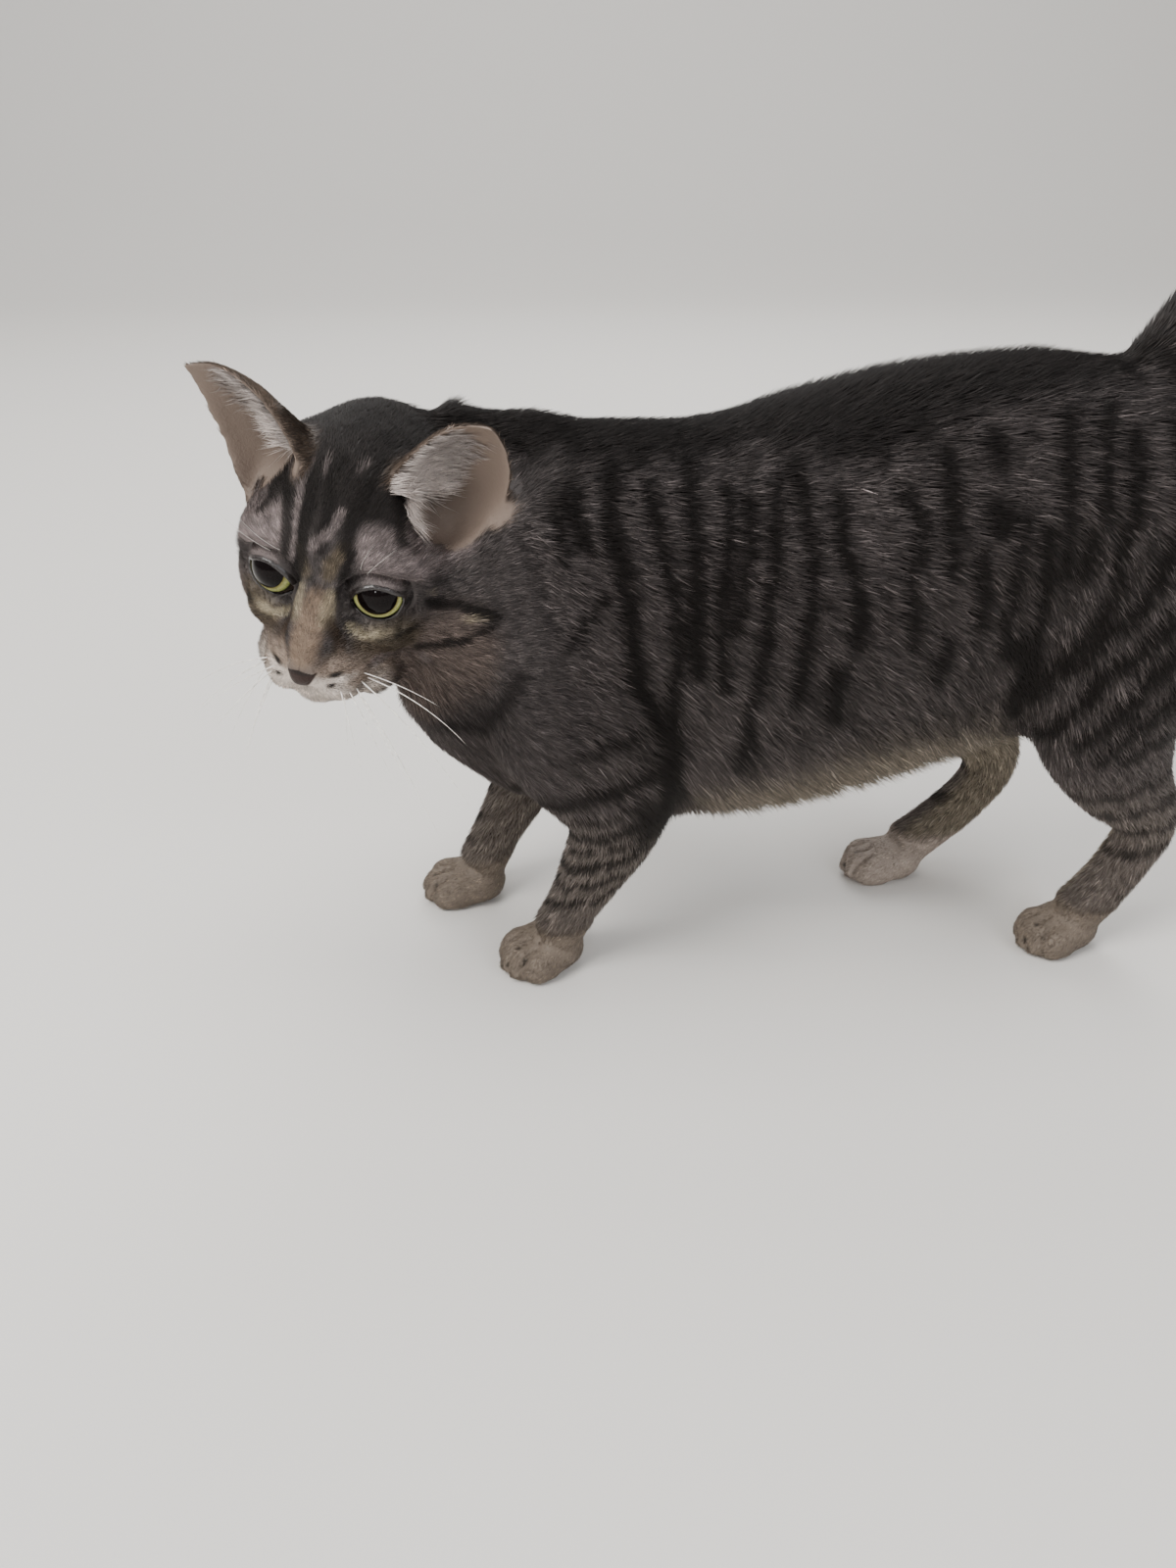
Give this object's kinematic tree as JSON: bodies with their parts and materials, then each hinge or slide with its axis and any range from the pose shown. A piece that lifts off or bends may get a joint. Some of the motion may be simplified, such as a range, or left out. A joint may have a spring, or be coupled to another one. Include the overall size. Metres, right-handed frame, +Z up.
{
  "type": "cat",
  "caption": "Short-haired brown mackerel tabby cat, a still model standing on four paws with a low head turned to its left and a raised tail.",
  "frame": {"origin": "on the floor, at the middle of the bounding box's underside", "axes": "the cat faces -Y with its tail towards +Y, its left side is +X, and +Z is up"},
  "size_m": [0.141, 0.5526, 0.4689],
  "materials": {
    "head": "dense short fur, grey-brown ground with near-black stripes",
    "neck": "dense short fur, grey-brown ground with near-black stripes",
    "trunk": "dense short fur, grey-brown ground with near-black stripes",
    "tail_root": "dense short fur, grey-brown ground with near-black stripes",
    "tail_middle": "dark ringed short fur",
    "tail_tip": "near-black short fur",
    "ear_left": "dense short fur, grey-brown ground with near-black stripes",
    "ear_right": "dense short fur, grey-brown ground with near-black stripes",
    "eye_left": "wet gloss, near-black pupil in a yellow-green iris",
    "eye_right": "wet gloss, near-black pupil in a yellow-green iris",
    "nose": "fine-grained bare skin",
    "foreleg_left": "dense short fur, grey-brown ground with near-black stripes",
    "foreleg_right": "dense short fur, grey-brown ground with near-black stripes",
    "forepaw_left": "pale grey-brown short fur",
    "forepaw_right": "pale grey-brown short fur",
    "thigh_left": "dense short fur, grey-brown ground with near-black stripes",
    "thigh_right": "dense short fur, grey-brown ground with near-black stripes",
    "shank_left": "dense short fur, grey-brown ground with near-black stripes",
    "shank_right": "dense short fur, grey-brown ground with near-black stripes",
    "hindpaw_left": "pale grey-brown short fur",
    "hindpaw_right": "paler short fur"
  },
  "bodies": {
    "root": {"head": "head", "neck": "neck", "trunk": "trunk", "tail_root": "tail_root", "tail_middle": "tail_middle", "tail_tip": "tail_tip", "ear_left": "ear_left", "ear_right": "ear_right", "eye_left": "eye_left", "eye_right": "eye_right", "nose": "nose", "foreleg_left": "foreleg_left", "foreleg_right": "foreleg_right", "forepaw_left": "forepaw_left", "forepaw_right": "forepaw_right", "thigh_left": "thigh_left", "thigh_right": "thigh_right", "shank_left": "shank_left", "shank_right": "shank_right", "hindpaw_left": "hindpaw_left", "hindpaw_right": "hindpaw_right"}
  },
  "joints": []
}
